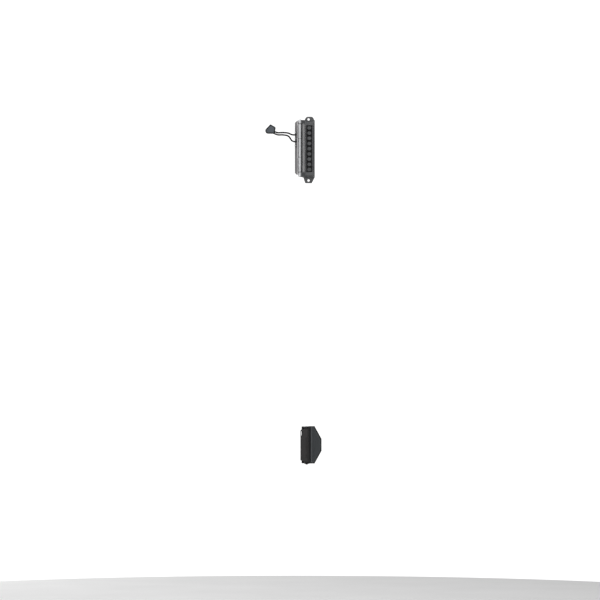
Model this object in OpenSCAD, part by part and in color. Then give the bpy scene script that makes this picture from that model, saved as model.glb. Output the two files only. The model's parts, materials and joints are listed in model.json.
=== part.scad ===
// Swinging wall rack for one bicycle, hung by its front wheel.
// The upper unit carries a hinged tyre channel with a hook; the lower unit carries a hinged tyre cradle.
// The wall is the plane Y = 0 and the room is on its -Y side. Both hinges are drawn swung flat to the left.

/* [Upper unit] */
// Width of the extruded body at the wall
body_w = 47.4; // [44:0.2:52]
// Depth of the extruded body from wall to front
body_depth = 50; // [44:1:54]
// Reach of the flat front from the body's centre towards the hinge
front_left = 13.5; // [12:0.5:15]
// Reach of the flat front from the body's centre away from the hinge
front_right = 19.5; // [16:0.5:21]
// Length of the extruded body between its end caps
body_len = 180; // [170:1:190]
// Thickness of the extrusion's walls
body_wall = 3; // [2.5:0.1:4]
// Height of each end cap without its screw tab
cap_h = 20; // [18:1:24]
// Overall height of the upper unit over both tabs
upper_h = 256; // [250:1:270]
// Distance between the upper unit's two wall holes
upper_hole_pitch = 235; // [230:1:238]
// Radius of every wall hole
wall_hole_r = 4.5; // [3.5:0.1:4.6]

/* [Upper hinge] */
// Distance of the hinge axis to the left of the body's centre
hinge_x = 35; // [34:0.5:38]
// Distance of both hinge axes from the wall
hinge_v = 62; // [60:1:66]
// Radius of the hinge barrel
barrel_r = 6.35; // [6:0.05:6.5]
// Radius of the hinge pins
pin_r = 4; // [3:0.5:4]
// Radial running clearance between a pin and its bushes
run_gap = 0.05; // [0.02:0.01:0.09]

/* [Tyre channel and hook] */
// Width of the tyre channel
channel_w = 68; // [60:1:70]
// Thickness of the sheet that the channel is bent from
sheet_t = 3; // [2.5:0.1:3.2]
// Reach of the hook's peg from the hinge axis
peg_reach = 108; // [98:1:112]
// Radius of the two hook rods
rod_r = 3; // [2.5:0.1:3.2]
// Radius of the rubber sleeve on the peg
sleeve_r = 12; // [10:0.5:14]

/* [Lower unit] */
// Height of the lower unit's centre below the upper unit's centre
lower_drop = 1135; // [1000:5:1200]
// Width of the eight-sided base plate
plate_w = 78; // [74:1:84]
// Height of the eight-sided base plate
plate_h = 144; // [140:1:152]
// Sideways offset of the base plate's centre
plate_x = 11; // [10:0.5:12]
// Distance of the lower hinge axis to the left of the origin
lower_hinge_x = 7.5; // [7:0.5:8]
// Distance between the lower unit's two wall holes
lower_hole_pitch = 90; // [80:1:96]
// Inside width of the tyre cradle
cradle_in = 42; // [38:1:44]

/* [Hidden] */

$fn = 48;
eps = 0.01;

// Upper body
half_body = body_w / 2;
shoulder_v = 30;                    // depth at which the flanks start to slope in
fin_reach = 31;                     // reach of the fin that closes the gap behind the barrel
fin_v = 21;                         // depth of that fin's face nearer the wall
fin_t = 3;
body_z0 = -86.4;                    // lower end of the extrusion
body_z1 = body_z0 + body_len;
recess_w = 22;
recess_x = 2.5;                      // sideways offset of the recess from the body's centre
recess_d = 3;
slat_count = 9;
slat_w = 15;
slat_h = 13;
cap_screw_r = 2;
cap_screw_head_r = 3.8;
cap_screw_x = 12;
cap_screw_v = 15;
tab_t = 6;
tab_left = 14;                      // reach of both tabs towards the hinge
tab_top_half = 8.5;                 // half width of a tab's straight end
tab_end_x = 3.5;                    // middle of that straight end
slope_v = 14;                       // depth at which a cap's outer end starts to slope
slope_h = 9;                        // height that the slope loses by the front

// Upper hinge, from the bottom eye to the top eye
eye_h = 14;
thrust_t = 2;
float_gap = 0.3;
ring_t = 1;
eye_bottom_z0 = body_z0 - 15.2;
eye_top_z1 = body_z1 + cap_h;
knuckle_z0 = eye_bottom_z0 + eye_h + thrust_t + float_gap;
knuckle_z3 = eye_top_z1 - eye_h - thrust_t - float_gap;
knuckle_len = 55;
knuckle_z1 = knuckle_z0 + knuckle_len;
knuckle_z2 = knuckle_z3 - knuckle_len;
bush_r = pin_r + 1;
bush_len = 14;
pin_head_r = 5.6;
pin_head_h = 1.8;
clip_r = 5.4;
clip_t = 1.2;

// Tyre channel, in its own frame: x runs away from the hinge, y towards the wall
web_a = 7;                          // back of the channel's web
flange_reach = 11;                  // reach of the flange on the wall side
half_channel = channel_w / 2;
channel_z0 = -96;
channel_z1 = 110;
channel_cut = 7;

// Hook, in the same frame
foot_t = 3;
foot_a0 = web_a + sheet_t + 0.5;
foot_a1 = web_a + flange_reach;
foot_z0 = 9;
foot_z1 = 75;
rod_b = half_channel - sheet_t - foot_t - rod_r;
peg_z = 73;
peg_r = 6;
ring_r = 11;
knob_len = 28;
sleeve_b0 = -27;
knob_b0 = sleeve_b0 - knob_len;
bolt_r = 2.5;
bolt_head_r = 4.4;
nut_r = 4.6;
bolt_a = 14.2;
bolt_zs = [17, 42, 67];
upper_rod = [[10.8, 58.5], [20, 57], [31, 58.5], [44, 64], [64, 66], [84, 65.5], [101, 71.5]];
lower_rod = [[10.8, 32.5], [19, 31], [28, 34], [34, 41], [40, 50], [50, 55], [66, 57],
    [84, 57.5], [102, 64.5]];
knob_corners = [[12, -2.5, 11], [2.5, 17, 4.5], [-11.5, 8, 5], [-9, -8.5, 5]];
knob_edge = 3;
rod_sides = 14;
bend_steps = 4;

// Lower unit
plate_t = 5;
plate_edge = 2;                     // height of the step round the plate's edge
plate_rim = 3.6;                    // width of that step
plate_cut_x = 27;
plate_cut_z = 49;
rib_x = 11;
rib_w = 6;
rib_h = 12;
bracket_t = 3;
bracket_x0 = -27;
bracket_x1 = 7.6;
ear_t = 4;
ear_r = 10;
ear_z = plate_h / 2 - 1;
lower_bolt_x = -13;
knuckle_r = 8;
cradle_h = 124;
cradle_t = 3;
cradle_web_a = 8.5;
cradle_lip_a = 24;
cradle_back_a = -3.5;
cradle_low_cut = 15;
cradle_low_rise = 5;
cradle_top_cut = 6;
half_cradle = cradle_in / 2 + cradle_t;
lower_thrust_t = 1.5;
lower_knuckle_half = ear_z - ear_t - lower_thrust_t - float_gap;
pad_t = 5;
pad_groove_r = 34;
pad_screw_z = 44;
pad_screw_r = 1.8;
pad_screw_head_r = 3.4;
slot_a = 18.9;
slot_z = 46;
slot_len = 18;
slot_w = 4.6;

// A flat outline, drawn in X and Y, raised from z0 to z1
module slab(z0, z1) {
    translate([0, 0, z0]) linear_extrude(z1 - z0) children();
}

// A round bar between two heights
module bar(r, z0, z1) {
    translate([0, 0, z0]) cylinder(r = r, h = z1 - z0);
}

// A tube between two heights
module tube(r_out, r_in, z0, z1) {
    difference() {
        bar(r_out, z0, z1);
        bar(r_in, z0 - 1, z1 + 1);
    }
}

// A round bar along Y between two places
module bar_y(r, y0, y1) {
    translate([0, y1, 0]) rotate([90, 0, 0]) cylinder(r = r, h = y1 - y0);
}

// Puts children in the upper hinge's frame
module at_upper_hinge() {
    translate([-hinge_x, -hinge_v, 0]) mirror([1, 0, 0]) children();
}

// Puts children in the lower hinge's frame, with z from the lower unit's centre
module at_lower_hinge() {
    translate([-lower_hinge_x, -hinge_v, -lower_drop]) mirror([1, 0, 0]) children();
}

// The body's section seen from above, drawn inside its outer face by inset
module body_section(inset) {
    side = half_body - inset;
    left = front_left - inset * 0.6;
    right = front_right - inset * 0.6;
    polygon([[-side, -inset], [-side, -shoulder_v], [-left, -body_depth + inset],
        [right, -body_depth + inset], [side, -shoulder_v], [side, -inset]]);
}

// The same section with the fin on its hinge side
module finned_section() {
    body_section(0);
    translate([-fin_reach, -fin_v - fin_t]) square([fin_reach - half_body + 2, fin_t]);
}

module cap_screw_places() {
    for (x = [-cap_screw_x, cap_screw_x]) {
        translate([x, -cap_screw_v, 0]) children();
    }
}

// Hollow extrusion with a recess down its front, two screw bosses inside and a fin behind the barrel
module body_extrusion() {
    boss_r = cap_screw_r + 2.2;
    color([0.16, 0.17, 0.18]) difference() {
        slab(body_z0, body_z1) difference() {
            finned_section();
            difference() {
                body_section(body_wall);
                translate([recess_x - recess_w / 2 - body_wall, -body_depth])
                    square([recess_w + 2 * body_wall, recess_d + body_wall]);
                cap_screw_places() circle(r = boss_r);
                for (x = [-cap_screw_x, cap_screw_x]) {
                    translate([x - 1.2, -cap_screw_v]) square([2.4, cap_screw_v]);
                }
            }
            translate([recess_x - recess_w / 2, -body_depth - 1]) square([recess_w, recess_d + 1]);
            cap_screw_places() circle(r = cap_screw_r);
        }
    }
}

// Strip that fills the recess, with a column of plain raised slats
module front_insert() {
    base_t = 1.4;
    slat_t = 1;
    gap = body_len / slat_count;
    color([0.1, 0.1, 0.11]) {
        translate([recess_x - recess_w / 2, -body_depth + recess_d - base_t, body_z0])
            cube([recess_w, base_t, body_len]);
        for (i = [0 : slat_count - 1]) {
            translate([recess_x, -body_depth + recess_d - base_t - slat_t, body_z0 + (i + 0.5) * gap])
                slat(base_t + slat_t - 0.4);
        }
    }
}

// One raised slat with round ends
module slat(depth) {
    reach = slat_w / 2 - slat_h / 2;
    translate([-reach, 0, -slat_h / 2]) cube([2 * reach, depth, slat_h]);
    for (x = [-reach, reach]) {
        translate([x, 0, 0]) bar_y(slat_h / 2, 0, depth);
    }
}

// Screw tab in the wall plane, standing up from z0 to z1, with cut corners
module top_tab(z0, z1) {
    end_left = tab_end_x - tab_top_half;
    end_right = tab_end_x + tab_top_half;
    left_drop = 9.5;       // depth of the cut corner on the left
    left_bend = [3.5, 4];  // that cut's bend, in from the side and down from the end
    right_bend = [5, 3];   // the right cut's bend, out from the end and down from it
    rotate([90, 0, 0]) linear_extrude(tab_t)
        polygon([[-tab_left, z0], [-tab_left, z1 - left_drop],
            [-tab_left + left_bend.x, z1 - left_bend.y], [end_left, z1], [end_right, z1],
            [end_right + right_bend.x, z1 - right_bend.y], [half_body, z0]]);
}

// Tab of the bottom cap, hanging down from z1 to z0 and narrower at its end
module bottom_tab(z0, z1) {
    root_extra = 6;        // extra width of the root on the left
    corner_cut = [2, 3];   // width and height of the cut lower left corner
    rotate([90, 0, 0]) linear_extrude(tab_t)
        polygon([[-tab_left - root_extra, z1], [-tab_left, z0 + corner_cut.y],
            [-tab_left + corner_cut.x, z0], [tab_end_x + tab_top_half, z0], [half_body, z1]]);
}

// Arm from a cap's front corner to the hinge eye, seen from above
module arm_section() {
    difference() {
        union() {
            polygon([[-half_body, -shoulder_v + 6], [-front_left, -body_depth],
                [-hinge_x + 2, -hinge_v - barrel_r + 0.4], [-hinge_x - 2, -hinge_v + barrel_r - 0.4]]);
            translate([-hinge_x, -hinge_v]) circle(r = barrel_r);
        }
        translate([-hinge_x, -hinge_v]) circle(r = pin_r);
    }
}

// End cap block between z0 and z1, with the front of its outer end sloped back
module cap_block(z0, z1, slope_up) {
    outer = slope_up ? z1 : z0;
    lean = slope_up ? 1 : -1;
    difference() {
        slab(z0, z1) finned_section();
        rotate([90, 0, 90]) translate([0, 0, -fin_reach - 1]) linear_extrude(fin_reach + half_body + 2)
            polygon([[-slope_v, outer], [-body_depth, outer - lean * slope_h],
                [-body_depth - 1, outer - lean * slope_h], [-body_depth - 1, outer + lean],
                [-slope_v, outer + lean]]);
    }
}

module wall_hole(z) {
    translate([0, 0, z]) bar_y(wall_hole_r, -tab_t - 1, 1);
    translate([0, 0, z]) bar_y(wall_hole_r + 6, -body_depth - 1, -tab_t);
}

// Top cap: block, rounded tab and the arm that holds the pin's upper end
module top_end_cap() {
    color([0.24, 0.25, 0.26]) difference() {
        union() {
            cap_block(body_z1, eye_top_z1, true);
            top_tab(eye_top_z1 - 1, upper_h / 2);
            slab(eye_top_z1 - eye_h, eye_top_z1) arm_section();
        }
        wall_hole(upper_hole_pitch / 2);
        cap_screw_places() bar(cap_screw_r, body_z1 - 1, eye_top_z1 + 1);
        cap_screw_places() bar(cap_screw_head_r, eye_top_z1 - 4, eye_top_z1 + 1);
    }
}

// Bottom cap: block, bevelled tab and the arm that holds the pin's lower end
module bottom_end_cap() {
    block_z0 = body_z0 - cap_h;
    color([0.24, 0.25, 0.26]) difference() {
        union() {
            cap_block(block_z0, body_z0, false);
            bottom_tab(-upper_h / 2, block_z0 + 1);
            slab(eye_bottom_z0, eye_bottom_z0 + eye_h) arm_section();
        }
        wall_hole(-upper_hole_pitch / 2);
        cap_screw_places() bar(cap_screw_r, block_z0 - 1, body_z0 + 1);
        cap_screw_places() bar(cap_screw_head_r, block_z0 - 1, block_z0 + 4);
    }
}

// Pan-head screw pointing down from a head that sits at height z, with a hex socket
module cap_screw(z, len) {
    difference() {
        union() {
            bar(cap_screw_r, z - len, z + eps);
            bar(cap_screw_head_r - 0.3, z, z + 2.6);
        }
        translate([0, 0, z + 1]) cylinder(r = 1.7, h = 3, $fn = 6);
    }
}

module top_cap_screws() {
    color([0.7, 0.71, 0.72]) cap_screw_places() cap_screw(eye_top_z1 - 4, 30);
}

module bottom_cap_screws() {
    color([0.7, 0.71, 0.72]) cap_screw_places()
        mirror([0, 0, 1]) cap_screw(-(body_z0 - cap_h + 4), 30);
}

// Pin through both eyes, with a low round head on top
module upper_hinge_pin() {
    color([0.78, 0.79, 0.8]) at_upper_hinge() {
        bar(pin_r, eye_bottom_z0 - 3, eye_top_z1 + eps);
        bar(pin_head_r, eye_top_z1, eye_top_z1 + pin_head_h);
    }
}

// Retaining ring pressed on the pin's lower end
module upper_pin_clip() {
    color([0.3, 0.3, 0.31]) at_upper_hinge()
        tube(clip_r, pin_r, eye_bottom_z0 - clip_t, eye_bottom_z0);
}

// Washers between the two eyes and the turning barrel
module upper_thrust_washers() {
    color([0.12, 0.12, 0.13]) at_upper_hinge() {
        tube(barrel_r, pin_r, eye_bottom_z0 + eye_h, eye_bottom_z0 + eye_h + thrust_t);
        tube(barrel_r, pin_r, eye_top_z1 - eye_h - thrust_t, eye_top_z1 - eye_h);
    }
}

// Barrel knuckle with the foot that is welded to the channel's web
module knuckle(z0, z1) {
    foot_w = 9;
    color([0.78, 0.79, 0.8]) at_upper_hinge() difference() {
        union() {
            bar(barrel_r, z0, z1);
            translate([0, -foot_w / 2, z0]) cube([web_a, foot_w, z1 - z0]);
        }
        bar(bush_r, z0 - 1, z0 + bush_len);
        bar(bush_r, z1 - bush_len, z1 + 1);
        bar(pin_r + 0.4, z0 - 1, z1 + 1);
    }
}

module upper_knuckle() {
    knuckle(knuckle_z2, knuckle_z3);
}

module lower_knuckle() {
    knuckle(knuckle_z0, knuckle_z1);
}

// Plain bushes pressed into both ends of both knuckles
module knuckle_bushes() {
    color([0.85, 0.84, 0.8]) at_upper_hinge() {
        for (z = [knuckle_z0, knuckle_z1 - bush_len, knuckle_z2, knuckle_z3 - bush_len]) {
            tube(bush_r, pin_r + run_gap, z, z + bush_len);
        }
    }
}

// Sleeve that fills the barrel between the two knuckles
module barrel_sleeve() {
    color([0.78, 0.79, 0.8]) at_upper_hinge()
        tube(barrel_r, pin_r + run_gap, knuckle_z1 + ring_t, knuckle_z2 - ring_t);
}

module barrel_washers() {
    color([0.12, 0.12, 0.13]) at_upper_hinge() {
        tube(barrel_r, pin_r + run_gap, knuckle_z1, knuckle_z1 + ring_t);
        tube(barrel_r, pin_r + run_gap, knuckle_z2 - ring_t, knuckle_z2);
    }
}

// The channel's flange with its outer corners cut off
module channel_flange_outline() {
    outer_a = web_a + flange_reach;
    polygon([[web_a, channel_z0], [outer_a - channel_cut, channel_z0], [outer_a, channel_z0 + channel_cut],
        [outer_a, channel_z1 - channel_cut], [outer_a - channel_cut, channel_z1], [web_a, channel_z1]]);
}

module hook_bolt_holes(r, y0, y1) {
    for (z = bolt_zs) {
        translate([bolt_a, 0, z]) bar_y(r, y0, y1);
    }
}

// Bent sheet: a web that the tyre leans on and a flange on the wall side
module tyre_channel() {
    color([0.62, 0.63, 0.65]) at_upper_hinge() difference() {
        union() {
            translate([web_a, -half_channel, channel_z0])
                cube([sheet_t, channel_w, channel_z1 - channel_z0]);
            translate([0, half_channel, 0]) rotate([90, 0, 0])
                linear_extrude(sheet_t) channel_flange_outline();
        }
        hook_bolt_holes(bolt_r + 0.1, half_channel - sheet_t - 1, half_channel + 1);
    }
}

// Plate that joins both rods and is bolted to the flange
module hook_foot_plate() {
    color([0.1, 0.1, 0.11]) at_upper_hinge() difference() {
        translate([foot_a0, rod_b + rod_r, foot_z0])
            cube([foot_a1 - foot_a0, foot_t, foot_z1 - foot_z0]);
        hook_bolt_holes(bolt_r + 0.1, rod_b, half_channel);
    }
}

// Point on the smooth curve through four [reach, height] points, between the middle two
function curve_point(p, t) = 0.5 * (2 * p[1] + (p[2] - p[0]) * t
    + (2 * p[0] - 5 * p[1] + 4 * p[2] - p[3]) * t * t
    + (3 * p[1] - p[0] - 3 * p[2] + p[3]) * t * t * t);

// The curve through all the points of a route, bend_steps points to each stretch
function smooth_route(route) = let (last = len(route) - 1) [
    for (i = [0 : last - 1], k = [0 : bend_steps - 1])
        curve_point([route[max(i - 1, 0)], route[i], route[i + 1], route[min(i + 2, last)]],
            k / bend_steps),
    route[last]
];

// Direction of a path at its point i
function heading(path, i) = let (
    step = path[min(i + 1, len(path) - 1)] - path[max(i - 1, 0)]
) step / norm(step);

// Round bar swept along a route in one upright plane, rod_b away from the hinge's own plane
module bent_rod(route) {
    path = smooth_route(route);
    rings = len(path);
    points = [
        for (i = [0 : rings - 1], k = [0 : rod_sides - 1])
            let (
                along = heading(path, i),
                turn = 360 * k / rod_sides,
                side = rod_r * cos(turn)
            )
            [path[i].x - along.y * side, rod_b + rod_r * sin(turn), path[i].y + along.x * side]
    ];
    walls = [
        for (i = [0 : rings - 2], k = [0 : rod_sides - 1])
            let (next = (k + 1) % rod_sides, low = i * rod_sides, high = low + rod_sides)
            [low + k, high + k, high + next, low + next]
    ];
    first_end = [for (k = [0 : rod_sides - 1]) k];
    last_end = [for (k = [rod_sides - 1 : -1 : 0]) (rings - 1) * rod_sides + k];
    polyhedron(points, concat(walls, [first_end, last_end]));
}

// Rod that runs from the top of the foot plate to the root of the peg
module upper_hook_rod() {
    color([0.1, 0.1, 0.11]) at_upper_hinge() bent_rod(upper_rod);
}

// Rod that rises from the bottom of the foot plate and runs under the upper one
module lower_hook_rod() {
    color([0.1, 0.1, 0.11]) at_upper_hinge() bent_rod(lower_rod);
}

// Solid peg with the round collar that the rods are welded to
module hook_peg() {
    color([0.1, 0.1, 0.11]) at_upper_hinge() translate([peg_reach, 0, peg_z]) {
        bar_y(ring_r, rod_b - rod_r, rod_b + rod_r);
        bar_y(peg_r, knob_b0 + 8, rod_b - rod_r + eps);
    }
}

// Rubber sleeve that the rim rests on
module hook_sleeve() {
    color([0.07, 0.07, 0.08]) at_upper_hinge() translate([peg_reach, 0, peg_z]) difference() {
        bar_y(sleeve_r, sleeve_b0, rod_b - rod_r);
        bar_y(peg_r, sleeve_b0 - 1, rod_b);
    }
}

// Broad end cap with one wide round corner and three small ones, and a bevelled face
module hook_knob() {
    color([0.3, 0.31, 0.33]) at_upper_hinge() translate([peg_reach, 0, peg_z]) difference() {
        hull() {
            for (corner = knob_corners) {
                translate([corner.x, 0, corner.y]) {
                    bar_y(corner.z, knob_b0 + knob_edge, sleeve_b0);
                    bar_y(corner.z - knob_edge, knob_b0, knob_b0 + knob_edge);
                }
            }
        }
        bar_y(peg_r, knob_b0 + 8, sleeve_b0 + 1);
    }
}

// Button-head bolts that hold the foot plate on the flange
module hook_bolts() {
    color([0.82, 0.83, 0.84]) at_upper_hinge() for (z = bolt_zs) {
        translate([bolt_a, 0, z]) difference() {
            union() {
                bar_y(bolt_r, rod_b + rod_r - 4.5, half_channel + eps);
                bar_y(bolt_head_r, half_channel, half_channel + 3.4);
            }
            translate([0, half_channel + 5, 0]) rotate([90, 0, 0]) cylinder(r = 2, h = 4, $fn = 6);
        }
    }
}

module hook_nuts() {
    color([0.6, 0.61, 0.62]) at_upper_hinge() for (z = bolt_zs) {
        translate([bolt_a, rod_b + rod_r, z]) rotate([90, 30, 0]) difference() {
            cylinder(r = nut_r, h = 4, $fn = 6);
            translate([0, 0, -1]) cylinder(r = bolt_r, h = 6);
        }
    }
}

// Eight-sided outline seen from the front, drawn inside its edge by inset
module plate_outline(inset) {
    w = plate_w / 2 - inset;
    h = plate_h / 2 - inset;
    cut_x = plate_cut_x - inset * 0.3;
    cut_z = plate_cut_z - inset * 0.3;
    polygon([[-w + cut_x, h], [-w, h - cut_z], [-w, -h + cut_z], [-w + cut_x, -h],
        [w - cut_x, -h], [w, -h + cut_z], [w, h - cut_z], [w - cut_x, h]]);
}

module lower_wall_holes(r, depth) {
    for (z = [-lower_hole_pitch / 2, lower_hole_pitch / 2]) {
        translate([lower_bolt_x, 0, z]) bar_y(r, -depth, 1);
    }
}

// Moulded base plate with a bevelled edge and one upright rib
module lower_base_plate() {
    rib_half = plate_h / 2 - 4;
    color([0.25, 0.26, 0.27]) translate([0, 0, -lower_drop]) difference() {
        union() {
            translate([plate_x, 0, 0]) rotate([90, 0, 0]) {
                linear_extrude(plate_t - plate_edge) plate_outline(0);
                translate([0, 0, plate_t - plate_edge - eps])
                    linear_extrude(plate_edge + eps) plate_outline(plate_rim);
            }
            translate([rib_x - rib_w / 2, -plate_t - rib_h + rib_w / 2, -rib_half])
                cube([rib_w, rib_h - rib_w / 2 + eps, 2 * rib_half]);
            translate([rib_x, -plate_t - rib_h + rib_w / 2, 0]) bar(rib_w / 2, -rib_half, rib_half);
        }
        lower_wall_holes(wall_hole_r, plate_t + 1);
    }
}

// Ear of the bracket seen from above
module ear_section() {
    difference() {
        union() {
            translate([-lower_hinge_x - ear_r, -hinge_v]) square([2 * ear_r, hinge_v - plate_t]);
            translate([-lower_hinge_x, -hinge_v]) circle(r = ear_r);
        }
        translate([-lower_hinge_x, -hinge_v]) circle(r = pin_r);
    }
}

// Steel bracket: a web screwed through the base plate and two ears for the pin
module lower_bracket() {
    color([0.12, 0.12, 0.13]) translate([0, 0, -lower_drop]) difference() {
        union() {
            translate([bracket_x0, -plate_t - bracket_t, -ear_z])
                cube([bracket_x1 - bracket_x0, bracket_t, 2 * ear_z]);
            slab(ear_z - ear_t, ear_z) ear_section();
            slab(-ear_z, -ear_z + ear_t) ear_section();
        }
        for (z = [-1, 1]) {
            translate([bracket_x0, 0, z * (ear_z + 4)]) rotate([0, z * 38, 0])
                translate([-14, -20, -14]) cube([20, 14, 28]);
        }
        lower_wall_holes(wall_hole_r, plate_t + bracket_t + 1);
    }
}

module lower_hinge_pin() {
    color([0.78, 0.79, 0.8]) at_lower_hinge() {
        bar(pin_r, -ear_z - 3, ear_z + eps);
        bar(pin_head_r, ear_z, ear_z + pin_head_h);
    }
}

module lower_pin_clip() {
    color([0.3, 0.3, 0.31]) at_lower_hinge() tube(clip_r, pin_r, -ear_z - clip_t, -ear_z);
}

module lower_thrust_washers() {
    inner = ear_z - ear_t;
    color([0.12, 0.12, 0.13]) at_lower_hinge() {
        tube(knuckle_r - 1, pin_r, inner - lower_thrust_t, inner);
        tube(knuckle_r - 1, pin_r, -inner, -inner + lower_thrust_t);
    }
}

// Side wall of the cradle, with its lip corners cut off
module cradle_wall_outline() {
    h = cradle_h / 2;
    polygon([[cradle_back_a, -h], [cradle_lip_a - cradle_low_cut, -h],
        [cradle_lip_a, -h + cradle_low_rise], [cradle_lip_a, h - cradle_top_cut],
        [cradle_lip_a - cradle_top_cut, h], [cradle_back_a, h]]);
}

// Upright strap slot with round ends, through both side walls
module strap_slot() {
    reach = slot_len / 2 - slot_w / 2;
    for (z = [slot_z - reach, slot_z + reach]) {
        translate([slot_a, 0, z]) bar_y(slot_w / 2, -half_cradle - 1, half_cradle + 1);
    }
    translate([slot_a - slot_w / 2, -half_cradle - 1, slot_z - reach])
        cube([slot_w, 2 * half_cradle + 2, 2 * reach]);
}

// Moulded cradle: floor, two side walls, ribs and the knuckle that turns on the pin
module tyre_cradle() {
    rib_t = 3;
    rib_zs = [-58, -20, 20, 58];
    color([0.2, 0.21, 0.22]) at_lower_hinge() difference() {
        union() {
            translate([cradle_web_a, -half_cradle, -cradle_h / 2])
                cube([cradle_t, 2 * half_cradle, cradle_h]);
            for (y = [-half_cradle + cradle_t, half_cradle]) {
                translate([0, y, 0]) rotate([90, 0, 0]) linear_extrude(cradle_t) cradle_wall_outline();
            }
            for (z = rib_zs) {
                translate([0, -half_cradle + 1, z - rib_t / 2])
                    cube([cradle_web_a + 1, 2 * half_cradle - 2, rib_t]);
            }
            translate([0, -knuckle_r / 2, -cradle_h / 2]) cube([cradle_web_a + 1, knuckle_r, cradle_h]);
            bar(knuckle_r, -lower_knuckle_half, lower_knuckle_half);
        }
        strap_slot();
        bar(bush_r, -lower_knuckle_half - 1, -lower_knuckle_half + bush_len);
        bar(bush_r, lower_knuckle_half - bush_len, lower_knuckle_half + 1);
        bar(pin_r + 0.4, -lower_knuckle_half - 1, lower_knuckle_half + 1);
        for (z = [-pad_screw_z, pad_screw_z], y = [-12, 12]) {
            translate([cradle_web_a - 1, y, z]) rotate([0, 90, 0]) cylinder(r = pad_screw_r, h = 6);
        }
    }
}

module cradle_bushes() {
    color([0.85, 0.84, 0.8]) at_lower_hinge() {
        tube(bush_r, pin_r + run_gap, -lower_knuckle_half, -lower_knuckle_half + bush_len);
        tube(bush_r, pin_r + run_gap, lower_knuckle_half - bush_len, lower_knuckle_half);
    }
}

// Rubber pad with a shallow round groove for the tyre
module cradle_pad() {
    front = cradle_web_a + cradle_t;
    half_pad = cradle_in / 2 - 0.4;
    groove_deep = 2.4;
    color([0.08, 0.08, 0.09]) at_lower_hinge() difference() {
        slab(-cradle_h / 2 + 6, cradle_h / 2 - 6) difference() {
            translate([front, -half_pad]) square([pad_t, 2 * half_pad]);
            translate([front + pad_t - groove_deep + pad_groove_r, 0]) circle(r = pad_groove_r, $fn = 96);
        }
        for (z = [-pad_screw_z, pad_screw_z], y = [-12, 12]) {
            translate([front - 1, y, z]) rotate([0, 90, 0]) cylinder(r = pad_screw_r, h = 8);
            translate([front + 2, y, z]) rotate([0, 90, 0]) cylinder(r = pad_screw_head_r, h = 8);
        }
    }
}

// Flat-head screws that hold the pad on the cradle's floor
module cradle_pad_screws() {
    front = cradle_web_a + cradle_t;
    color([0.6, 0.61, 0.62]) at_lower_hinge()
        for (z = [-pad_screw_z, pad_screw_z], y = [-12, 12]) {
            translate([0, y, z]) rotate([0, 90, 0]) difference() {
                union() {
                    translate([0, 0, front - cradle_t]) cylinder(r = pad_screw_r, h = cradle_t + 2 + eps);
                    translate([0, 0, front + 2]) cylinder(r = pad_screw_head_r, h = 1.2);
                }
                translate([0, 0, front + 2.2]) cylinder(r = 1.4, h = 2, $fn = 6);
            }
        }
}

body_extrusion();
front_insert();
top_end_cap();
bottom_end_cap();
top_cap_screws();
bottom_cap_screws();
upper_hinge_pin();
upper_pin_clip();
upper_thrust_washers();
tyre_channel();
upper_knuckle();
lower_knuckle();
barrel_sleeve();
barrel_washers();
knuckle_bushes();
hook_foot_plate();
upper_hook_rod();
lower_hook_rod();
hook_peg();
hook_sleeve();
hook_knob();
hook_bolts();
hook_nuts();
lower_base_plate();
lower_bracket();
lower_hinge_pin();
lower_pin_clip();
lower_thrust_washers();
tyre_cradle();
cradle_bushes();
cradle_pad();
cradle_pad_screws();
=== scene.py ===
"""Looks of a swinging bicycle wall rack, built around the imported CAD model."""

import json
import math

import bpy
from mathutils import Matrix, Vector


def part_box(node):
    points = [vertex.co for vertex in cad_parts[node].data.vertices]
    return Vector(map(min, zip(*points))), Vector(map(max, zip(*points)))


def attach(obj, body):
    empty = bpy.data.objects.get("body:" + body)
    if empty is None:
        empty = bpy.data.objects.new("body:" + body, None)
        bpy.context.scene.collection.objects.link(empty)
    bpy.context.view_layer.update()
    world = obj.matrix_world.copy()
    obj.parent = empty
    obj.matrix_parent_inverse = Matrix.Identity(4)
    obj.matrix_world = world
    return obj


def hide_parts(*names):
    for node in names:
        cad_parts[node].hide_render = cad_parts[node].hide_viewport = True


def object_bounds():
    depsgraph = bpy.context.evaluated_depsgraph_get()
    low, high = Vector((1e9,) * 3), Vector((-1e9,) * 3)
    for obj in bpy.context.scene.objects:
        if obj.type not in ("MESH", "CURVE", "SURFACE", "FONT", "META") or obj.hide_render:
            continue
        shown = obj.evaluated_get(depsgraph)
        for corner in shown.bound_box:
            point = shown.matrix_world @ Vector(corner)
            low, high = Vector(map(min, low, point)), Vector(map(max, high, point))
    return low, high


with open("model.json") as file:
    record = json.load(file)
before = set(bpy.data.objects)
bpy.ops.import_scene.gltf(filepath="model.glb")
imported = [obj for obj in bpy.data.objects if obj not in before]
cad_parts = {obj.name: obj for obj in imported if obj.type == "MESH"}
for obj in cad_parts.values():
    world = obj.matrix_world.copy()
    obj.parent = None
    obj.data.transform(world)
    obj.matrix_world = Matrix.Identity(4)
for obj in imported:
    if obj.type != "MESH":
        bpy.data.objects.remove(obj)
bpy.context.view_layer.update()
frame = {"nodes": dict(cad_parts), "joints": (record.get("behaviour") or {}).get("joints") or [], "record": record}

NODES = frame["nodes"]
AXES = {joint["name"]: Vector(joint["pos_m"]) for joint in frame["joints"]}
MM = 0.001

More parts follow.
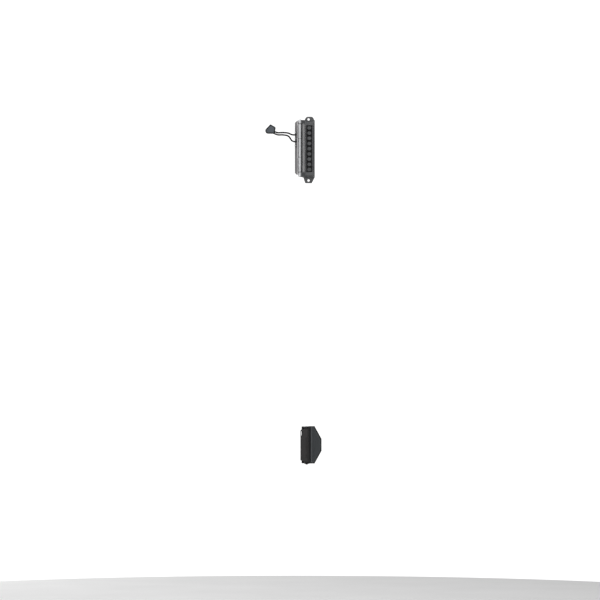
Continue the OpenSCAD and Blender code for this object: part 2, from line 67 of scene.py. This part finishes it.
# Hook, in the upper hinge's own frame: reach from the axis and height above the origin, in mm
UPPER_ROD = [(10.8, 58.5), (20, 57), (31, 58.5), (44, 64), (64, 66), (84, 65.5), (101, 71.5)]
LOWER_ROD = [(10.8, 32.5), (19, 31), (28, 34), (34, 41), (40, 50), (50, 55), (66, 57), (84, 57.5),
             (102, 64.5)]
KNOB_CORNERS = [(12, -2.5, 11), (2.5, 17, 4.5), (-11.5, 8, 5), (-9, -8.5, 5)]
ROD_RADIUS = 3.0
WEB_REACH = 7.0
KNUCKLE_FOOT = 9.0


# ---------------------------------------------------------------- camera, light and floor

def make_camera():
    """A long-lens camera square to the wall, framed as a view of both units with room around them."""
    distance = 20.0
    view_width = 2.31
    aim_x, aim_z = -0.033, -0.5775
    data = bpy.data.cameras.new("camera")
    data.sensor_width = 36.0
    data.lens = data.sensor_width * distance / view_width
    data.clip_end = 60.0
    camera = bpy.data.objects.new("camera", data)
    bpy.context.scene.collection.objects.link(camera)
    camera.location = (aim_x, -distance, aim_z)
    camera.rotation_euler = (math.radians(90), 0, 0)
    bpy.context.scene.camera = camera


def area_light(name, place, size, watts):
    data = bpy.data.lights.new(name, "AREA")
    data.shape = "RECTANGLE"
    data.size, data.size_y = size
    data.energy = watts
    light = bpy.data.objects.new(name, data)
    bpy.context.scene.collection.objects.link(light)
    light.location = place
    middle = Vector((0.0, -0.05, -0.55))
    light.rotation_euler = (middle - Vector(place)).to_track_quat("-Z", "Y").to_euler()


def make_world():
    """A white studio that the camera sees brighter than it lights the object."""
    glow, seen = 0.4, 1.15
    world = bpy.data.worlds.new("studio")
    bpy.context.scene.world = world
    world.use_nodes = True
    tree = world.node_tree
    background = tree.nodes["Background"]
    background.inputs["Color"].default_value = (1, 1, 1, 1)
    path = tree.nodes.new("ShaderNodeLightPath")
    strength = tree.nodes.new("ShaderNodeMapRange")
    strength.inputs["To Min"].default_value = glow
    strength.inputs["To Max"].default_value = seen
    tree.links.new(path.outputs["Is Camera Ray"], strength.inputs["Value"])
    tree.links.new(strength.outputs["Result"], background.inputs["Strength"])
    bpy.context.scene.view_settings.view_transform = "Standard"


def make_lights():
    area_light("side_wall", (-2.7, 1.9, -0.5), (1.8, 3.2), 40)
    area_light("key", (-2.3, -2.6, 0.7), (0.8, 2.4), 34)
    area_light("front", (0.5, -3.4, -0.4), (0.7, 2.6), 20)
    area_light("top", (0.1, -1.2, 1.6), (1.6, 1.0), 15)
    area_light("back", (-1.2, 2.6, 1.1), (1.2, 1.6), 16)


def make_floor():
    low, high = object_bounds()
    drop, radius, sides = 0.52, 1.9, 96
    middle = Vector(((low.x + high.x) / 2, -0.2, low.z - drop))
    rim = [middle + Vector((math.cos(turn), math.sin(turn), 0)) * radius
           for turn in (2 * math.pi * i / sides for i in range(sides))]
    floor = new_object("floor", rim, [list(range(sides))], floor_material())


# ---------------------------------------------------------------- mesh helpers

def new_object(name, points, faces, material, smooth_angle=None):
    mesh = bpy.data.meshes.new(name)
    mesh.from_pydata([tuple(p) for p in points], [], faces)
    mesh.validate()
    mesh.update()
    if smooth_angle is not None:
        mesh.polygons.foreach_set("use_smooth", [True] * len(mesh.polygons))
        mesh.set_sharp_from_angle(angle=math.radians(smooth_angle))
    made = bpy.data.objects.new(name, mesh)
    bpy.context.scene.collection.objects.link(made)
    made.data.materials.append(material)
    return made


def in_hinge(joint, reach, depth, height):
    """A place given from a hinge axis: reach to the left, depth towards the wall, height, in mm."""
    return AXES[joint] + Vector((-reach, depth, height)) * MM


def ring_faces(rings, sides):
    """Faces of a skin over closed rings that have the same number of points, ends capped."""
    walls = [[low + k, low + (k + 1) % sides, low + sides + (k + 1) % sides, low + sides + k]
             for low in range(0, (rings - 1) * sides, sides) for k in range(sides)]
    first = list(range(sides))[::-1]
    last = [(rings - 1) * sides + k for k in range(sides)]
    return walls + [first, last]


def joined(parts):
    """Several (points, faces) pairs as one."""
    points, faces = [], []
    for part_points, part_faces in parts:
        start = len(points)
        points += part_points
        faces += [[start + k for k in face] for face in part_faces]
    return points, faces


def smooth_route(route, steps):
    """Points along the smooth curve through a route, steps to each stretch."""
    places = [Vector(p) for p in route]
    last = len(places) - 1
    path = []
    for i in range(last):
        before, start, end, after = (places[max(i - 1, 0)], places[i], places[i + 1],
                                     places[min(i + 2, last)])
        for k in range(steps):
            t = k / steps
            path.append(0.5 * (2 * start + (end - before) * t
                               + (2 * before - 5 * start + 4 * end - after) * t * t
                               + (3 * start - before - 3 * end + after) * t ** 3))
    return path + [places[last]]


def tube(path, radius_at, sides=28):
    """Skin round a path of points in one upright plane; radius_at gives the radius at a share of it."""
    points = []
    last = len(path) - 1
    for i, place in enumerate(path):
        along = (path[min(i + 1, last)] - path[max(i - 1, 0)]).normalized()
        across = Vector((0, 1, 0))
        side = along.cross(across).normalized()
        across = side.cross(along).normalized()
        radius = radius_at(i / last) * MM
        for k in range(sides):
            turn = 2 * math.pi * k / sides
            points.append(place + side * (radius * math.cos(turn)) + across * (radius * math.sin(turn)))
    return points, ring_faces(len(path), sides)


def bead(start, end, radius):
    """Weld bead between two places, with the ripples that the torch leaves."""
    length = (end - start).length / MM
    ripples = max(2, round(length / 1.6))
    rings = ripples * 6
    path = [start.lerp(end, i / rings) for i in range(rings + 1)]

    def radius_at(share):
        ripple = 0.86 + 0.14 * abs(math.sin(math.pi * ripples * share))
        taper = min(1.0, 9 * min(share, 1 - share) + 0.35)
        return radius * ripple * taper

    return tube(path, radius_at, sides=12)


def lathe_y(centre, profile, sides=72):
    """Surface turned round an axis along Y. The profile is a closed loop of (depth, radius) in mm."""
    points = []
    for depth, radius in profile:
        for k in range(sides):
            turn = 2 * math.pi * k / sides
            points.append(centre + Vector((radius * math.cos(turn), depth, radius * math.sin(turn))) * MM)
    loops = len(profile)
    faces = [[i * sides + k, i * sides + (k + 1) % sides, (i + 1) % loops * sides + (k + 1) % sides,
              (i + 1) % loops * sides + k] for i in range(loops) for k in range(sides)]
    return points, faces


# ---------------------------------------------------------------- materials

def new_material(name):
    material = bpy.data.materials.new(name)
    material.use_nodes = True
    return material, material.node_tree, material.node_tree.nodes["Principled BSDF"]


def noise(tree, scale, detail=4.0, stretch=(1, 1, 1)):
    """Noise in the object's own space, stretched along its axes."""
    place = tree.nodes.new("ShaderNodeTexCoord")
    mapping = tree.nodes.new("ShaderNodeMapping")
    mapping.inputs["Scale"].default_value = stretch
    texture = tree.nodes.new("ShaderNodeTexNoise")
    texture.inputs["Scale"].default_value = scale
    texture.inputs["Detail"].default_value = detail
    tree.links.new(place.outputs["Object"], mapping.inputs["Vector"])
    tree.links.new(mapping.outputs["Vector"], texture.inputs["Vector"])
    return texture.outputs["Fac"]


def spread(tree, source, low, high, out_low, out_high):
    """Maps source from low..high to out_low..out_high."""
    node = tree.nodes.new("ShaderNodeMapRange")
    for name, value in (("From Min", low), ("From Max", high), ("To Min", out_low), ("To Max", out_high)):
        node.inputs[name].default_value = value
    tree.links.new(source, node.inputs["Value"])
    return node.outputs["Result"]


def tint(tree, source, dark, light):
    """A colour from dark to light as source goes up."""
    ramp = tree.nodes.new("ShaderNodeValToRGB")
    for element, position, colour in zip(ramp.color_ramp.elements, (0.3, 0.7), (dark, light)):
        element.position = position
        element.color = (*colour, 1)
    tree.links.new(source, ramp.inputs["Fac"])
    return ramp.outputs["Color"]


def mixed(tree, share, first, second):
    """first where share is 0 and the plain colour second where it is 1."""
    node = tree.nodes.new("ShaderNodeMix")
    node.data_type = "RGBA"
    colour_a, colour_b = node.inputs[6], node.inputs[7]
    colour_result = node.outputs[2]
    tree.links.new(share, node.inputs["Factor"])
    tree.links.new(first, colour_a)
    colour_b.default_value = (*second, 1)
    return colour_result


def product(tree, first, second):
    """The two values multiplied."""
    node = tree.nodes.new("ShaderNodeMath")
    node.operation = "MULTIPLY"
    tree.links.new(first, node.inputs[0])
    tree.links.new(second, node.inputs[1])
    return node.outputs["Value"]


def edge_wear(tree, radius):
    """1 on sharp edges and 0 on flats, with the rounded normal that finds them."""
    bevel = tree.nodes.new("ShaderNodeBevel")
    bevel.samples = 4
    bevel.inputs["Radius"].default_value = radius
    geometry = tree.nodes.new("ShaderNodeNewGeometry")
    angle = tree.nodes.new("ShaderNodeVectorMath")
    angle.operation = "DOT_PRODUCT"
    tree.links.new(bevel.outputs["Normal"], angle.inputs[0])
    tree.links.new(geometry.outputs["Normal"], angle.inputs[1])
    return spread(tree, angle.outputs["Value"], 0.99, 0.8, 0.0, 1.0), bevel.outputs["Normal"]


def bump(tree, height, strength, distance, normal=None):
    """A normal that follows height, over a given normal if there is one."""
    node = tree.nodes.new("ShaderNodeBump")
    node.inputs["Strength"].default_value = strength
    node.inputs["Distance"].default_value = distance
    tree.links.new(height, node.inputs["Height"])
    if normal is not None:
        tree.links.new(normal, node.inputs["Normal"])
    return node.outputs["Normal"]


def painted(name, dark, light, worn, rough, gloss=0.5, wear=0.5):
    """Powder coat or anodising: faint mottling, orange peel and paler worn edges."""
    material, tree, shader = new_material(name)
    patches = noise(tree, 38)
    scuffs = spread(tree, noise(tree, 130, 3), 0.42, 0.62, 0.1, wear)
    edges, soft_normal = edge_wear(tree, 0.5 * MM)
    colour = mixed(tree, product(tree, edges, scuffs), tint(tree, patches, dark, light), worn)
    tree.links.new(colour, shader.inputs["Base Color"])
    tree.links.new(spread(tree, patches, 0.3, 0.7, *rough), shader.inputs["Roughness"])
    shader.inputs["Specular IOR Level"].default_value = gloss
    peel = noise(tree, 900, 2)
    tree.links.new(bump(tree, peel, 0.2, 0.25 * MM, soft_normal), shader.inputs["Normal"])
    return material


def bare_metal(name, dark, light, stain, rough=(0.2, 0.36), stretch=(1, 1, 1), metal=1.0):
    """Bare or brushed metal, with lines along the axis of the smallest stretch and dull patches."""
    material, tree, shader = new_material(name)
    lines = noise(tree, 420, 4, stretch)
    patches = spread(tree, noise(tree, 26), 0.4, 0.7, 0.0, 0.4)
    _, soft_normal = edge_wear(tree, 0.3 * MM)
    tree.links.new(mixed(tree, patches, tint(tree, lines, dark, light), stain), shader.inputs["Base Color"])
    tree.links.new(spread(tree, lines, 0.3, 0.7, *rough), shader.inputs["Roughness"])
    shader.inputs["Metallic"].default_value = metal
    tree.links.new(bump(tree, lines, 0.12, 0.12 * MM, soft_normal), shader.inputs["Normal"])
    return material


def moulded(name, dark, light, worn, gloss=0.4):
    """Moulded plastic with a fine spark-eroded grain and slightly polished edges."""
    material, tree, shader = new_material(name)
    patches = noise(tree, 30)
    edges, soft_normal = edge_wear(tree, 0.6 * MM)
    rubbed = product(tree, edges, spread(tree, noise(tree, 90, 3), 0.4, 0.6, 0.1, 0.5))
    tree.links.new(mixed(tree, rubbed, tint(tree, patches, dark, light), worn), shader.inputs["Base Color"])
    tree.links.new(spread(tree, patches, 0.3, 0.7, 0.42, 0.58), shader.inputs["Roughness"])
    shader.inputs["Specular IOR Level"].default_value = gloss
    cells = tree.nodes.new("ShaderNodeTexVoronoi")
    cells.inputs["Scale"].default_value = 1500
    place = tree.nodes.new("ShaderNodeTexCoord")
    tree.links.new(place.outputs["Object"], cells.inputs["Vector"])
    tree.links.new(bump(tree, cells.outputs["Distance"], 0.35, 0.15 * MM, soft_normal),
                   shader.inputs["Normal"])
    return material


def rubber(name, dark, light):
    """Soft rubber: dull, dusty, with a fine pebble."""
    material, tree, shader = new_material(name)
    dust = noise(tree, 55, 6)
    tree.links.new(tint(tree, dust, dark, light), shader.inputs["Base Color"])
    tree.links.new(spread(tree, dust, 0.3, 0.7, 0.66, 0.82), shader.inputs["Roughness"])
    shader.inputs["Specular IOR Level"].default_value = 0.3
    shader.inputs["Sheen Weight"].default_value = 0.1
    shader.inputs["Sheen Roughness"].default_value = 0.5
    tree.links.new(bump(tree, noise(tree, 1100, 3), 0.4, 0.2 * MM), shader.inputs["Normal"])
    return material


def floor_material():
    material, tree, shader = new_material("floor_paint")
    tree.links.new(tint(tree, noise(tree, 3, 3), (0.88, 0.88, 0.88), (0.92, 0.92, 0.92)),
                   shader.inputs["Base Color"])
    shader.inputs["Roughness"].default_value = 0.8
    return material


def anodised():
    """Black anodised extrusion, with faint lines along its length."""
    material = painted("anodised_black", (0.022, 0.023, 0.026), (0.032, 0.033, 0.037), (0.2, 0.2, 0.21),
                       (0.24, 0.34), gloss=0.5, wear=0.35)
    tree = material.node_tree
    shader = tree.nodes["Principled BSDF"]
    below = shader.inputs["Normal"].links[0].from_socket
    lines = noise(tree, 700, 3, (1, 1, 0.03))
    tree.links.new(bump(tree, lines, 0.25, 0.1 * MM, below), shader.inputs["Normal"])
    return material


def make_library():
    """Every material by the name of the record's slot it finishes, with a few for special faces."""
    grey_wear = (0.3, 0.3, 0.31)
    return {
        "black_anodised": anodised(),
        "insert_plastic": moulded("insert_black", (0.004, 0.004, 0.004), (0.007, 0.007, 0.008),
                                  (0.04, 0.04, 0.04), gloss=0.12),
        "slat_face": moulded("slat_grey", (0.065, 0.068, 0.07), (0.1, 0.104, 0.108), (0.17, 0.17, 0.17),
                             gloss=0.3),
        "cap_paint": painted("cap_coat", (0.06, 0.062, 0.065), (0.08, 0.083, 0.086), grey_wear, (0.3, 0.42)),
        # Near-black for the flank turned away from the light and for the fin's front face: painted shade.
        "flank_painted_shade": painted("flank_painted_shade_black", (0.01, 0.01, 0.011), (0.018, 0.018, 0.02),
                             (0.12, 0.12, 0.12), (0.4, 0.5), gloss=0.3, wear=0.35),
        "zinc": bare_metal("zinc_plate", (0.6, 0.61, 0.62), (0.74, 0.75, 0.76), (0.42, 0.42, 0.42)),
        "bright_steel": bare_metal("bright_steel", (0.6, 0.61, 0.62), (0.75, 0.76, 0.77), (0.4, 0.4, 0.41)),
        "black_oxide": painted("black_oxide", (0.012, 0.012, 0.012), (0.02, 0.02, 0.02), (0.12, 0.12, 0.12),
                               (0.36, 0.5)),
        "washer_nylon": moulded("washer_nylon", (0.01, 0.01, 0.011), (0.016, 0.016, 0.017),
                                (0.05, 0.05, 0.05)),
        "channel_paint": painted("channel_coat", (0.24, 0.235, 0.24), (0.31, 0.3, 0.305), (0.5, 0.5, 0.5),
                                 (0.38, 0.52)),
        "silver_barrel": bare_metal("barrel_aluminium", (0.72, 0.73, 0.75), (0.88, 0.89, 0.9),
                                    (0.6, 0.61, 0.63), (0.3, 0.44), (1, 1, 0.04), 0.45),
        "bush_plastic": moulded("bush_plastic", (0.6, 0.58, 0.52), (0.72, 0.7, 0.64), (0.8, 0.78, 0.72)),
        "hook_paint": painted("hook_coat", (0.005, 0.005, 0.006), (0.009, 0.009, 0.01), (0.07, 0.07, 0.07),
                              (0.3, 0.42), gloss=0.22, wear=0.4),
        "sleeve_rubber": rubber("sleeve_rubber", (0.012, 0.012, 0.013), (0.022, 0.022, 0.023)),
        "knob_plastic": moulded("knob_dark", (0.008, 0.009, 0.01), (0.013, 0.014, 0.016), (0.08, 0.08, 0.09)),
        "knob_face": moulded("knob_slate", (0.062, 0.072, 0.085), (0.085, 0.096, 0.112), (0.16, 0.18, 0.2)),
        "base_plastic": moulded("base_plate", (0.036, 0.042, 0.046), (0.048, 0.054, 0.059), (0.1, 0.1, 0.11)),
        # Lighter grey for the raised rib on the base plate: a painted highlight.
        "rib_painted_highlight": moulded("base_rib_painted_highlight", (0.085, 0.092, 0.1), (0.11, 0.118, 0.126), (0.2, 0.2, 0.21)),
        # Near-black for the base plate's side and bevel faces: painted shade.
        "base_rim_painted_shade": moulded("base_rim_painted_shade", (0.005, 0.005, 0.005), (0.01, 0.01, 0.01), (0.05, 0.05, 0.05),
                            gloss=0.2),
        "cradle_plastic": moulded("cradle_plastic", (0.013, 0.012, 0.012), (0.027, 0.024, 0.024),
                                  (0.09, 0.085, 0.085), gloss=0.35),
        "pad_rubber": rubber("pad_rubber", (0.012, 0.012, 0.013), (0.02, 0.02, 0.021)),
    }


def dress(library):
    """Gives every CAD node the material of its own slot in the record."""
    for part in frame["record"]["subparts"]:
        node = NODES[part["node"]]
        node.data.materials.clear()
        node.data.materials.append(library[part["material_slot"]])
        node.data.polygons.foreach_set("material_index", [0] * len(node.data.polygons))


def repaint(name, material, chosen):
    """Gives a second material to the faces of a CAD node that chosen(centre, normal) picks."""
    data = NODES[name].data
    data.materials.append(material)
    extra = len(data.materials) - 1
    for face in data.polygons:
        if chosen(face.center, face.normal):
            face.material_index = extra


def paint_details(library):
    """Bright eyes on the caps, grey slats, painted shade on the right flank and the fin, painted shade on the base
    plate's rim and a painted highlight on its rib.
    """
    axis = AXES["hook_swing"]
    eye_radius = 6.5 * MM
    slat_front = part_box("front_insert")[0].y
    slat_skin = 0.1 * MM
    body_half_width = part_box("body_extrusion")[1].x
    flank_left = 18 * MM
    fin_front = -25 * MM
    plate_front = -5 * MM
    plate_step = 0.5 * MM

    def on_eye(centre, normal):
        return math.hypot(centre.x - axis.x, centre.y - axis.y) < eye_radius

    for cap in ("top_end_cap", "bottom_end_cap"):
        repaint(cap, library["silver_barrel"], on_eye)

    repaint("front_insert", library["slat_face"],
            lambda centre, normal: normal.y < -0.5 and centre.y < slat_front + slat_skin)

    # Faces turned right and the fin's set-back front face take the near-black material: painted shade where the
    # flank faces away from the light and in the gap beside the body.
    def on_shaded_flank(centre, normal):
        return normal.x > 0.3 and centre.x > flank_left

    def on_fin(centre, normal):
        return normal.y < -0.8 and centre.x < -body_half_width and centre.y > fin_front

    for name in ("body_extrusion", "top_end_cap", "bottom_end_cap"):
        repaint(name, library["flank_painted_shade"], on_shaded_flank)
        repaint(name, library["flank_painted_shade"], on_fin)

    # The base plate's side and bevel faces take the near-black material: painted shade along its rim.
    repaint("lower_base_plate", library["base_rim_painted_shade"],
            lambda centre, normal: centre.y > plate_front + plate_step and normal.y < 0.5)
    # The faces of the raised rib take the lighter grey: a painted highlight on its rounded top.
    repaint("lower_base_plate", library["rib_painted_highlight"],
            lambda centre, normal: centre.y < plate_front - plate_step)


# ---------------------------------------------------------------- hook

def hook_rods(library):
    """Both bent rods as smooth bars, a trace thinner than the CAD ones so that they stay inside its box."""
    bar_radius = ROD_RADIUS - 0.02
    foot_low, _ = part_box("hook_foot_plate")
    depth = (foot_low.y - AXES["hook_swing"].y) / MM - ROD_RADIUS
    for node, route in (("upper_hook_rod", UPPER_ROD), ("lower_hook_rod", LOWER_ROD)):
        path = [in_hinge("hook_swing", p.x, depth, p.y) for p in smooth_route(route, 10)]
        rod = new_object(node + "_bar", *tube(path, lambda share: bar_radius), library["hook_paint"], 40)
        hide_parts(node)
        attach(rod, "hook_carrier")


def rod_welds(library):
    """Beads along both sides of each rod's root, where it lies on the foot plate."""
    bead_radius, inset, bead_end, bead_lift = 0.9, 0.4, 17.0, 0.6
    foot_low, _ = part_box("hook_foot_plate")
    depth = (foot_low.y - AXES["hook_swing"].y) / MM - bead_lift
    beads = []
    for route in (UPPER_ROD, LOWER_ROD):
        (start_reach, start_height), (end_reach, end_height) = route[0], route[1]
        slope = (end_height - start_height) / (end_reach - start_reach)
        rise = slope * (bead_end - start_reach)
        for side in (-1, 1):
            height = start_height + side * (ROD_RADIUS - inset)
            beads.append(bead(in_hinge("hook_swing", start_reach + inset, depth, height),
                              in_hinge("hook_swing", bead_end + inset, depth, height + rise), bead_radius))
    welds = new_object("rod_root_welds", *joined(beads), library["channel_paint"], 60)
    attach(welds, "hook_carrier")


def hook_sleeve(library):
    """Ribbed rubber sleeve on the peg."""
    low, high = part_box("hook_sleeve")
    centre = Vector(((low.x + high.x) / 2, low.y, (low.z + high.z) / 2))
    outer = (high.z - low.z) / 2 / MM
    bore = 6.0
    length = (high.y - low.y) / MM
    ribs = 9
    pitch = length / ribs
    rib_shape = ((0.08, 0.5), (0.2, 0.08), (0.5, 0.0), (0.8, 0.08), (0.92, 0.5), (1.0, 1.1))
    profile = [(0, bore), (0, outer - 1.2)]
    for i in range(ribs):
        profile += [((i + share) * pitch, outer - drop) for share, drop in rib_shape]
    profile.append((length, bore))
    sleeve = new_object("ribbed_sleeve", *lathe_y(centre, profile), library["sleeve_rubber"], 50)
    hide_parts("hook_sleeve")
    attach(sleeve, "hook_carrier")


def hull_outline(corners, steps=20):
    """Outline of a tight band round circles given as (x, z, radius), anticlockwise."""
    cloud = sorted((x + r * math.cos(turn), z + r * math.sin(turn)) for x, z, r in corners
                   for turn in (2 * math.pi * k / (4 * steps) for k in range(4 * steps)))

    def half(points):
        chain = []
        for p in points:
            while len(chain) > 1 and ((chain[-1][0] - chain[-2][0]) * (p[1] - chain[-2][1])
                                      <= (chain[-1][1] - chain[-2][1]) * (p[0] - chain[-2][0])):
                chain.pop()
            chain.append(p)
        return chain[:-1]

    return half(cloud) + half(cloud[::-1])


def even_outline(outline, count):
    """The same closed outline with count points at even distances."""
    loop = [Vector(p) for p in outline]
    loop.append(loop[0])
    lengths = [0.0]
    for a, b in zip(loop, loop[1:]):
        lengths.append(lengths[-1] + (b - a).length)
    places, i = [], 0
    for k in range(count):
        wanted = lengths[-1] * k / count
        while lengths[i + 1] < wanted:
            i += 1
        places.append(loop[i].lerp(loop[i + 1], (wanted - lengths[i]) / (lengths[i + 1] - lengths[i])))
    return places


def hook_knob(library):
    """Moulded end cap of the peg: soft edges, a dark border and a slightly sunk slate face."""
    low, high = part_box("hook_knob")
    axis = AXES["hook_swing"]
    collar_low, collar_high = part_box("hook_peg")
    peg_reach = (axis.x - (collar_low.x + collar_high.x) / 2) / MM
    peg_height = ((collar_low.z + collar_high.z) / 2 - axis.z) / MM
    front = (low.y - axis.y) / MM
    back = (high.y - axis.y) / MM
    sides = 120
    outline = even_outline(hull_outline(KNOB_CORNERS), sides)
    middle = sum(outline, Vector((0, 0))) / sides
    normals = []
    for k in range(sides):
        along = (outline[(k + 1) % sides] - outline[k - 1]).normalized()
        normals.append(Vector((along.y, -along.x)))

    edge, edge_steps = 4.0, 8
    turns = [math.pi / 2 * i / edge_steps for i in range(edge_steps + 1)]
    back_rings = [(back, 1.6), (back - 0.5, 0.6), (back - 1.6, 0.0)]
    front_rings = [(front + edge * (1 - math.sin(turn)), edge * (1 - math.cos(turn))) for turn in turns]
    border_rings = back_rings + front_rings
    last_inset = border_rings[-1][1]
    face_rings = [(0.97, 0.0), (0.95, 0.8), (0.9, 0.9), (0.6, 0.5), (0.3, 0.35), (0.08, 0.3)]

    points = []
    for depth, inset in border_rings:
        for place, normal in zip(outline, normals):
            spot = place - normal * inset
            points.append(in_hinge("hook_swing", peg_reach + spot.x, depth, peg_height + spot.y))
    for shrink, sunk in face_rings:
        for place, normal in zip(outline, normals):
            spot = middle + (place - normal * last_inset - middle) * shrink
            points.append(in_hinge("hook_swing", peg_reach + spot.x, front + sunk, peg_height + spot.y))
    faces = ring_faces(len(border_rings) + len(face_rings), sides)
    knob = new_object("knob_cap", points, faces, library["knob_plastic"], 35)
    knob.data.materials.append(library["knob_face"])
    first_face = (len(border_rings) + 1) * sides
    back_face = len(faces) - 2
    for i, face in enumerate(knob.data.polygons):
        if i >= first_face and i != back_face:
            face.material_index = 1
    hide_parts("hook_knob")
    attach(knob, "hook_carrier")


def knuckle_welds(library):
    """Rippled beads down both sides of each knuckle's foot, where it is welded to the channel."""
    bead_radius, inset = 1.2, 2.0
    reach = WEB_REACH - 0.5
    beads = []
    for node in ("upper_knuckle", "lower_knuckle"):
        low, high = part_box(node)
        for side in (-1, 1):
            depth = side * (KNUCKLE_FOOT / 2 + 0.3)
            beads.append(bead(in_hinge("hook_swing", reach, depth, high.z / MM - inset),
                              in_hinge("hook_swing", reach, depth, low.z / MM + inset), bead_radius))
    welds = new_object("knuckle_welds", *joined(beads), library["channel_paint"], 60)
    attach(welds, "hook_carrier")


# ---------------------------------------------------------------- lower unit

def pad_ribs(library):
    """Low cross ribs on the cradle's pad, following its groove."""
    low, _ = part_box("cradle_pad")
    axis = AXES["cradle_swing"]
    front = (axis.x - low.x) / MM
    groove_radius, groove_depth = 34.0, 2.4
    half_width, half_height, rib_radius, steps = 15.0, 49.0, 0.9, 24
    screw_height, screw_room = 44.0, 6.0
    count = 15
    parts = []
    for i in range(count):
        height = -half_height + i * 2 * half_height / (count - 1)
        if abs(abs(height) - screw_height) < screw_room:
            continue
        path = []
        for k in range(steps + 1):
            depth = -half_width + 2 * half_width * k / steps
            sunk = groove_radius - math.sqrt(groove_radius ** 2 - depth ** 2)
            path.append((front - groove_depth + min(sunk, groove_depth), depth, height))
        parts.append(cross_rib(path, rib_radius))
    ribs = new_object("pad_ribs", *joined(parts), library["pad_rubber"], 60)
    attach(ribs, "tyre_cradle_body")


def cross_rib(path, radius, sides=10):
    """Round rib along a level path of (reach, depth, height) from the lower hinge, thin at its ends."""
    points = []
    last = len(path) - 1
    for i, (reach, depth, height) in enumerate(path):
        size = radius * min(1.0, 0.3 + 5 * min(i, last - i) / last)
        for k in range(sides):
            turn = 2 * math.pi * k / sides
            points.append(in_hinge("cradle_swing", reach + size * math.cos(turn), depth,
                                   height + size * math.sin(turn)))
    return points, ring_faces(len(path), sides)


def cradle_bead(library):
    """Long half-round rib moulded on each side wall of the cradle, over the line of its pin."""
    low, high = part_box("tyre_cradle")
    axis = AXES["cradle_swing"]
    rib_radius, rib_reach, low_height, high_height = 2.6, 1.0, -50.0, 38.0
    sink, steps = 1.0, 40

    def radius_at(share):
        return rib_radius * min(1.0, 0.2 + 14 * min(share, 1 - share))

    parts = []
    for face in (low.y, high.y):
        depth = (face - axis.y) / MM
        sunk = depth - math.copysign(sink, depth)
        path = [in_hinge("cradle_swing", rib_reach, sunk, low_height + (high_height - low_height) * i / steps)
                for i in range(steps + 1)]
        parts.append(tube(path, radius_at, 24))
    ribs = new_object("cradle_side_ribs", *joined(parts), library["cradle_plastic"], 50)
    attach(ribs, "tyre_cradle_body")


make_camera()
make_world()
make_lights()
make_floor()
library = make_library()
dress(library)
paint_details(library)
hook_rods(library)
rod_welds(library)
hook_sleeve(library)
hook_knob(library)
knuckle_welds(library)
pad_ribs(library)
cradle_bead(library)
